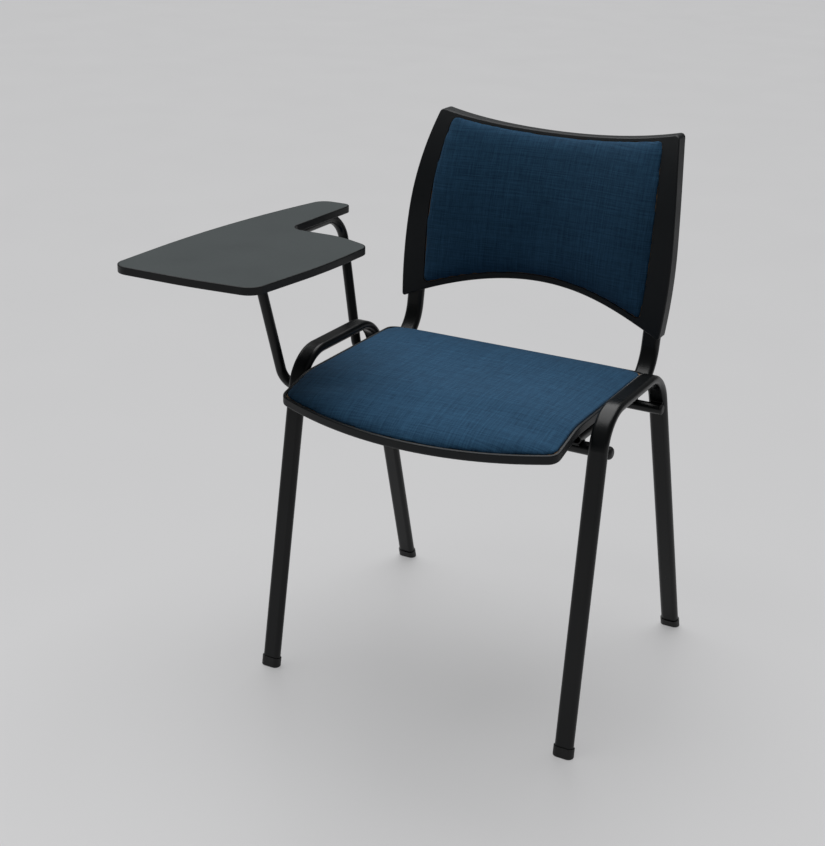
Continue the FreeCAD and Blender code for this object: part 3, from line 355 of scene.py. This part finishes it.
# %% Dress the loaded pieces
for part in frame["record"]["subparts"]:
    piece = nodes[part["node"]]
    piece.data.materials.clear()
    piece.data.materials.append(finishes[part["material_slot"]])

# %% [markdown]
# A cushion is foam on a curved board, with cloth pulled over it and stapled underneath. It could be pushed
# into shape by hand, but air pressure under a real cloth gives the soft way it fills out and draws in at its
# edge. First each point learns how firmly the board holds it: fully where the cloth lies on the board or is
# pulled round its edge, and not at all on the thick foam. The nearest spot on the board tells that.

# %% How firmly the board holds the cloth
HELD = "held"
FREE = "free"
HELD_GAP = 4.0 * MM
FREE_GAP = 10.0 * MM


def hold(piece, board):
    """Two groups of weights: held near the board, and free, which is what is left."""
    held = piece.vertex_groups.new(name=HELD)
    free = piece.vertex_groups.new(name=FREE)
    for point in piece.data.vertices:
        _, spot, _, _ = board.closest_point_on_mesh(point.co)
        gap = (spot - point.co).length
        firmness = min(1.0, max(0.0, (FREE_GAP - gap) / (FREE_GAP - HELD_GAP)))
        held.add([point.index], firmness, "REPLACE")
        free.add([point.index], 1.0 - firmness, "REPLACE")


print("held within mm", HELD_GAP / MM, "free from mm", FREE_GAP / MM)

# %% [markdown]
# The solid cushion is copied and given an even skin of small faces. Its edge on the board is a thin wedge,
# which such a skin would lose, so the hidden side is first pulled down into a skirt. The skin also rounds
# the edges off, so it is stretched back to the solid's length and width, a hair more, as cloth fills its
# groove.

# %% Skirt and stretch
SKIRT = 8.0 * MM
FACES_AWAY = -0.8
ACROSS = 0


def pull_skirt(piece, outward):
    """Moves the faces that look away from the sitter back by the skirt's depth."""
    bpy.ops.object.mode_set(mode="EDIT")
    bpy.ops.mesh.select_all(action="DESELECT")
    close_edit()
    hidden = [face for face in piece.data.polygons if face.normal.dot(outward) < FACES_AWAY]
    for face in hidden:
        face.select = True
    bpy.ops.object.mode_set(mode="EDIT")
    bpy.ops.mesh.select_mode(type="FACE")
    bpy.ops.transform.translate(value=outward * -SKIRT)
    close_edit()
    return len(hidden)


def mesh_box(piece):
    points = [point.co for point in piece.data.vertices]
    return [Vector([pick(point[axis] for point in points) for axis in range(3)]) for pick in (min, max)]


def stretch_to(piece, low, high, along):
    """Scales the mesh about a box's middle until it is as wide and as long as the box."""
    skin_low, skin_high = mesh_box(piece)
    factors = [1.0, 1.0, 1.0]
    for axis in (ACROSS, along):
        factors[axis] = (high[axis] - low[axis]) / (skin_high[axis] - skin_low[axis])
    edit_all(piece)
    bpy.ops.transform.resize(value=factors, center_override=(low + high) / 2)
    close_edit()
    return factors


print("skirt in mm", SKIRT / MM)

# %% [markdown]
# Now the skin itself. A voxel remesh gives faces of one size, which the cloth needs to swell evenly. The
# free side is then made a little smaller, because the pressure will swell it again.

# %% Even skin over a cushion's solid
VOXEL = 4.5 * MM
CLOTH_PROUD = 0.65 * MM
SAME_POINT = 0.01 * MM
SKIN_SMOOTHING = 4
UP = Vector((0.0, 0.0, 1.0))
TO_SITTER = Vector((0.0, -1.0, 0.0))
ALONG_SEAT = 1
ALONG_BACK = 2


def whole_copy(node, name):
    """Copy of a loaded piece, with its loose triangles sewn together."""
    piece = bpy.data.objects.new(name, nodes[node].data.copy())
    scene.collection.objects.link(piece)
    edit_all(piece)
    bpy.ops.mesh.remove_doubles(threshold=SAME_POINT)
    bpy.ops.mesh.normals_make_consistent(inside=False)
    close_edit()
    return piece


def even_skin(node, name, board, along, outward, smaller):
    piece = whole_copy(node, name)
    print(name, "faces on the board", pull_skirt(piece, outward))
    skin = piece.modifiers.new("skin", "REMESH")
    skin.mode = "VOXEL"
    skin.voxel_size = VOXEL
    soften = piece.modifiers.new("soften", "SMOOTH")
    soften.iterations = SKIN_SMOOTHING
    apply_modifiers(piece)
    proud = Vector((CLOTH_PROUD, CLOTH_PROUD, CLOTH_PROUD))
    low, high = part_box(node)
    factors = stretch_to(piece, low - proud, high + proud, along)
    print(name, "stretched by", [round(factor, 4) for factor in factors])
    hold(piece, nodes[board])
    shrink = piece.modifiers.new("shrink", "DISPLACE")
    shrink.mid_level = 0.0
    shrink.strength = -smaller
    shrink.vertex_group = FREE
    apply_modifiers(piece)
    piece.data.materials.clear()
    piece.data.materials.append(finishes["blue_fabric"])
    return piece


seat_pad = even_skin("seat_cushion", "seat_upholstery", "seat_board", ALONG_SEAT, UP, smaller=1.2 * MM)
back_pad = even_skin("back_cushion", "back_upholstery", "back_board", ALONG_BACK, TO_SITTER, smaller=1.0 * MM)
print("skin points", len(seat_pad.data.vertices), len(back_pad.data.vertices))

# %% [markdown]
# The held points are pinned, and air pushes the rest out. A soft cloth would balloon and crease, so this one
# is stiff, and no point may move further than a set reach. Gravity is off, because the foam carries it.

# %% Cloth held at its edge and filled with air
PRESSURE = 4.0
REACH = 3.0 * MM
LAST_FRAME = 20
FIRM_CLOTH = {
    "quality": 5,
    "mass": 0.3,
    "tension_stiffness": 25.0,
    "compression_stiffness": 25.0,
    "shear_stiffness": 15.0,
    "bending_stiffness": 10.0,
}


def inflate(piece):
    before = [point.co.copy() for point in piece.data.vertices]
    cloth = piece.modifiers.new("air", "CLOTH")
    for setting, value in FIRM_CLOTH.items():
        setattr(cloth.settings, setting, value)
    cloth.settings.use_pressure = True
    cloth.settings.uniform_pressure_force = PRESSURE
    cloth.settings.vertex_group_mass = HELD
    cloth.settings.effector_weights.gravity = 0.0
    cloth.point_cache.frame_start = 1
    cloth.point_cache.frame_end = LAST_FRAME
    for step in range(1, LAST_FRAME + 1):
        scene.frame_set(step)
    apply_modifiers(piece)
    furthest = 0.0
    for point, start in zip(piece.data.vertices, before):
        move = point.co - start
        furthest = max(furthest, move.length)
        if move.length > REACH:
            point.co = start + move.normalized() * REACH
    scene.frame_set(1)
    return furthest


for pad in (seat_pad, back_pad):
    print(pad.name, "wanted to swell by mm", round(inflate(pad) / MM, 1))

# %% [markdown]
# The foam is firm, so the cloth shows no folds: the free side is smoothed. The skirt has done its work and
# goes back onto the board. It could be cut off, but that leaves a ragged edge. Instead a ray from each of
# its points towards the sitter meets the board's front, and the point moves there. Points that meet in one
# place are merged.

# %% Seat the pads on their boards
BOARD_GAP = 0.4 * MM
FOAM_SMOOTHING = 70


def seat_on_board(piece, board, outward):
    soften = piece.modifiers.new("soften", "SMOOTH")
    soften.iterations = FOAM_SMOOTHING
    soften.vertex_group = FREE
    apply_modifiers(piece)
    moved = 0
    for point in piece.data.vertices:
        found, spot, _, _ = board.ray_cast(point.co, outward, distance=2 * SKIRT)
        if found:
            point.co = spot + outward * BOARD_GAP
            moved += 1
    edit_all(piece)
    bpy.ops.mesh.remove_doubles(threshold=VOXEL / 4)
    bpy.ops.mesh.normals_make_consistent(inside=False)
    close_edit()
    return moved


for pad, board, outward in ((seat_pad, "seat_board", UP), (back_pad, "back_board", TO_SITTER)):
    print(pad.name, "points seated", seat_on_board(pad, nodes[board], outward))

# %% [markdown]
# The weave has to run along the cloth, also where the seat rolls down at the front. An unwrap would give
# each island its own scale. So the length of the cushion's middle line is measured once with rays, and each
# point of the map takes its place from it.

# %% Lay the cloth map on the pads
LINE_STEPS = 120
CLEAR_OF_CHAIR = 2.0


def surface_lengths(piece, along, outward):
    """Places along an axis, and the length of the middle line up to each, measured on the sitter's side."""
    places, lengths, last = [], [], None
    low, high = mesh_box(piece)
    middle = sum(point.co.x for point in piece.data.vertices) / len(piece.data.vertices)
    for step in range(1, LINE_STEPS):
        place = low[along] + (high[along] - low[along]) * step / LINE_STEPS
        start = Vector((middle, 0.0, 0.0)) + outward * CLEAR_OF_CHAIR
        start[along] = place
        found, spot, _, _ = piece.ray_cast(start, -outward)
        if found:
            lengths.append(lengths[-1] + (spot - last).length if last else 0.0)
            places.append(place)
            last = spot
    return places, lengths


def lay_cloth(piece, along, outward):
    only(piece)
    finer = piece.modifiers.new("finer", "SUBSURF")
    finer.levels = 1
    finer.render_levels = 1
    apply_modifiers(piece)
    bpy.ops.object.shade_smooth()
    places, lengths = surface_lengths(piece, along, outward)
    cloth_map = piece.data.uv_layers.new(name=CLOTH_MAP)
    points = np.zeros(len(piece.data.vertices) * 3)
    piece.data.vertices.foreach_get("co", points)
    points = points.reshape(-1, 3)
    corners = np.zeros(len(piece.data.loops), dtype=int)
    piece.data.loops.foreach_get("vertex_index", corners)
    beyond = points[:, along] - np.clip(points[:, along], places[0], places[-1])
    run = np.interp(points[:, along], places, lengths) + beyond
    flat = np.stack([points[:, ACROSS], run], axis=1)[corners]
    cloth_map.data.foreach_set("uv", flat.ravel())
    return lengths[-1]


for pad, along, outward in ((seat_pad, ALONG_SEAT, UP), (back_pad, ALONG_BACK, TO_SITTER)):
    print(pad.name, "middle line in mm", round(lay_cloth(pad, along, outward) / MM, 1))

# %% [markdown]
# Each pad now stands for its own solid, which is hidden but keeps its weight and its place. How far the
# cloth stands out past that solid is measured, because it may only do so by a little.

# %% Hand the pads over
for pad, node in ((seat_pad, "seat_cushion"), (back_pad, "back_cushion")):
    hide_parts(node)
    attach(pad, "root")
    solid_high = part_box(node)[1]
    pad_high = mesh_box(pad)[1]
    proud = [round(side / MM, 1) for side in pad_high - solid_high]
    print(pad.name, "proud of its solid in mm", proud, "triangles", 2 * len(pad.data.polygons))

# %% [markdown]
# The frame is welded where a cross tube lies in the angle against a leg or under an upright's rail. A weld
# is a row of puddles, each laid over the last one. A plain rod would look like a wire in the angle. So one
# puddle is modelled and repeated, and a fine skin melts the row into one bead.

# %% One weld bead
BEAD_RADIUS = 2.3 * MM
BEAD_LENGTH = 22.0 * MM
BEAD_VOXEL = 0.42 * MM
BEAD_SMOOTHING = 2
PUDDLES = 12
PUDDLE_LENGTH_SHARE = 0.62


def weld_bead():
    nothing_selected()
    bpy.ops.mesh.primitive_uv_sphere_add(segments=16, ring_count=10, radius=BEAD_RADIUS)
    bead = bpy.context.object
    bead.name = "weld_bead"
    edit_all(bead)
    bpy.ops.transform.resize(value=(PUDDLE_LENGTH_SHARE, 1.0, 1.0))
    bpy.ops.transform.translate(value=(-BEAD_LENGTH / 2 + BEAD_RADIUS, 0.0, 0.0))
    close_edit()
    row = bead.modifiers.new("row", "ARRAY")
    row.count = PUDDLES
    row.use_relative_offset = False
    row.use_constant_offset = True
    row.constant_offset_displace = ((BEAD_LENGTH - 2 * BEAD_RADIUS) / (PUDDLES - 1), 0.0, 0.0)
    melt = bead.modifiers.new("melt", "REMESH")
    melt.mode = "VOXEL"
    melt.voxel_size = BEAD_VOXEL
    soften = bead.modifiers.new("soften", "SMOOTH")
    soften.iterations = BEAD_SMOOTHING
    apply_modifiers(bead)
    bpy.ops.object.shade_smooth()
    return bead


bead = weld_bead()
print("bead faces", len(bead.data.polygons), "length mm", round(bead.dimensions.x / MM, 1))

# %% [markdown]
# Each place is measured on the loaded pieces, so it follows the frame. A row of rays at the cross tube's
# height finds where the leg begins and ends. The bead lies in the groove between the round tube and the flat
# side next to it. It touches both when its distance from the tube's middle, along the flat side, is twice
# the square root of the two radii multiplied.

# %% Places of the welds
LEG_RAYS = 60
RAY_REACH = 20.0 * MM
FRONTWARD = -1.0
REARWARD = 1.0


def tube_middle(node):
    """Y and Z of a cross tube's middle, and its radius."""
    low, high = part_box(node)
    return (low.y + high.y) / 2, (low.z + high.z) / 2, (high.z - low.z) / 2


def leg_middle(side, height, start_y, towards):
    """X of a leg's middle at a height, from a row of rays along Y."""
    leg = nodes["side_frame_" + side]
    low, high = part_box("side_frame_" + side)
    hits = []
    for step in range(LEG_RAYS):
        x = low.x + (high.x - low.x) * (step + 0.5) / LEG_RAYS
        start = Vector((x, start_y, height))
        if leg.ray_cast(start, Vector((0.0, towards, 0.0)), distance=RAY_REACH)[0]:
            hits.append(x)
    return (min(hits) + max(hits)) / 2


def weld_places():
    places = []
    for tube, towards in (("front_cross_tube", FRONTWARD), ("rear_cross_tube", REARWARD)):
        y, z, radius = tube_middle(tube)
        apart = 2 * math.sqrt(radius * BEAD_RADIUS)
        lean = radius - BEAD_RADIUS
        for side in ("left", "right"):
            x = leg_middle(side, z, y, towards)
            places += [(x, y + towards * lean, z + up * apart) for up in (-1.0, 1.0)]
            low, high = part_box("back_upright_" + side)
            x = (low.x + high.x) / 2
            places += [(x, y + back * apart, z + lean) for back in (FRONTWARD, REARWARD)]
    return places


bead_places = weld_places()
print("first weld at mm", [round(value / MM, 1) for value in bead_places[0]])

# %% [markdown]
# The bead is copied to every joint of the frame, and the copies are joined into one piece, because the welds
# never move apart. They are enamelled together with the tubes, so they take the frame's finish.

# %% Weld every joint of the frame
def lay_welds(bead, places):
    welds = []
    for place in places:
        weld = bpy.data.objects.new("weld", bead.data.copy())
        scene.collection.objects.link(weld)
        weld.location = place
        welds.append(weld)
    nothing_selected()
    for weld in welds:
        weld.select_set(True)
    bpy.context.view_layer.objects.active = welds[0]
    bpy.ops.object.transform_apply(location=True, rotation=False, scale=False)
    bpy.ops.object.join()
    return bpy.context.object


frame_welds = lay_welds(bead, bead_places)
frame_welds.name = "frame_welds"
frame_welds.data.materials.clear()
frame_welds.data.materials.append(finishes["black_frame"])
bpy.data.objects.remove(bead)
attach(frame_welds, "root")
print("welds", len(bead_places), "triangles", 2 * len(frame_welds.data.polygons))

# %% [markdown]
# The floor is pale, plain and a little glossy. The camera and the glossy surfaces see it pale, while the
# light that it throws back up onto the chair is kept low, as in a large room. The Light Path node tells
# these rays apart. Part of the paleness glows by itself for those rays, so the chair's shadow stays soft and
# light. More lamps could do that too, but they would wash out the chair's own colours.

# %% Floor
FLOOR_SIZE = 80.0
GLOW_SHARE = 0.5
FLOOR_THROWN_BACK = (92, 92, 93)
FLOOR_SEEN = (210, 210, 211)
FLOOR_GLOW = (203, 203, 204)
FLOOR_GLOSS = (0.33, 0.38)


def floor_finish():
    material, tree, shader, place = new_material("pale_floor")
    rays = add(tree, "LightPath")
    seen = sums(tree, "MAXIMUM", rays.outputs["Is Camera Ray"], rays.outputs["Is Glossy Ray"])
    seen = sums(tree, "MAXIMUM", seen, rays.outputs["Is Transmission Ray"])
    colour = mix_colours(tree, seen, srgb(*FLOOR_THROWN_BACK), srgb(*FLOOR_SEEN))
    tree.links.new(colour, shader.inputs["Base Color"])
    haze = noise(tree, place, scale=3.0, detail=4.0, roughness=0.6)
    tree.links.new(remap(tree, haze, NOISE_RANGE, FLOOR_GLOSS), shader.inputs["Roughness"])
    glow = add(tree, "Emission", Color=srgb(*FLOOR_GLOW), Strength=1.0).outputs[0]
    share = sums(tree, "MULTIPLY", seen, GLOW_SHARE)
    mixed = add(tree, "MixShader", _0=share, _1=shader.outputs[0], _2=glow).outputs[0]
    tree.links.new(mixed, tree.nodes["Material Output"].inputs["Surface"])
    return material


bpy.ops.mesh.primitive_plane_add(size=FLOOR_SIZE, location=(0.0, 0.0, 0.0))
floor = only(bpy.context.object)
floor.name = "floor"
floor.data.materials.append(floor_finish())
print("floor", [round(side) for side in floor.dimensions])

# %% [markdown]
# The photograph looks at the chair from the sitter's front left and from above its back, down by about 22
# degrees. The camera's place and turn were worked out from the feet, the legs, the seat and the back, so
# the render lies over the photograph.

# %% Camera
camera_place = Vector((1.016137, -1.929101, 1.266))
camera_yaw = math.radians(28.36)
camera_pitch = math.radians(21.78)
camera_roll = math.radians(1.08)
camera_lens = 65.39
camera = bpy.data.objects.new("camera", bpy.data.cameras.new("camera"))
scene.collection.objects.link(camera)
camera.data.lens = camera_lens
turn = Matrix.Rotation(camera_yaw, 4, "Z") @ Matrix.Rotation(math.pi / 2 - camera_pitch, 4, "X")
camera.matrix_world = Matrix.Translation(camera_place) @ turn @ Matrix.Rotation(camera_roll, 4, "Z")
scene.camera = camera
print("camera at", [round(value, 3) for value in camera_place])

# %% [markdown]
# The light is one wide ceiling lamp a little behind the chair and to the tablet's side, so the seat is
# bright, the back is dark and the shadows have no edge. Several small lamps would leave a highlight each on
# the tubes. The room around gives little light, or the black plastic would look grey.

# %% Light
ROOM_STRENGTH = 0.12
ROOM_SEEN = (192, 192, 193)
WHITE = (1.0, 1.0, 1.0, 1.0)


def sun(name, strength, spread, tilt_x, tilt_y):
    """Wide lamp. Its spread and its tilts off the upright are in degrees."""
    lamp = bpy.data.objects.new(name, bpy.data.lights.new(name, "SUN"))
    scene.collection.objects.link(lamp)
    lamp.data.energy = strength
    lamp.data.angle = math.radians(spread)
    lamp.rotation_euler = (math.radians(tilt_x), math.radians(tilt_y), 0.0)


def room():
    """Dim light from all around. The camera alone sees it pale, like the floor."""
    world = bpy.data.worlds.new("room")
    world.use_nodes = True
    tree = world.node_tree
    dim = tree.nodes["Background"]
    dim.inputs["Color"].default_value = WHITE
    dim.inputs["Strength"].default_value = ROOM_STRENGTH
    pale = add(tree, "Background", Color=srgb(*ROOM_SEEN), Strength=1.0).outputs[0]
    seen = add(tree, "LightPath").outputs["Is Camera Ray"]
    mixed = add(tree, "MixShader", _0=seen, _1=dim.outputs[0], _2=pale).outputs[0]
    tree.links.new(mixed, tree.nodes["World Output"].inputs["Surface"])
    return world


scene.world = room()
sun("ceiling", strength=2.75, spread=68.0, tilt_x=-13.0, tilt_y=-14.0)
scene.view_settings.view_transform = "Standard"
print("lamps", len(bpy.data.lights), "room strength", ROOM_STRENGTH)
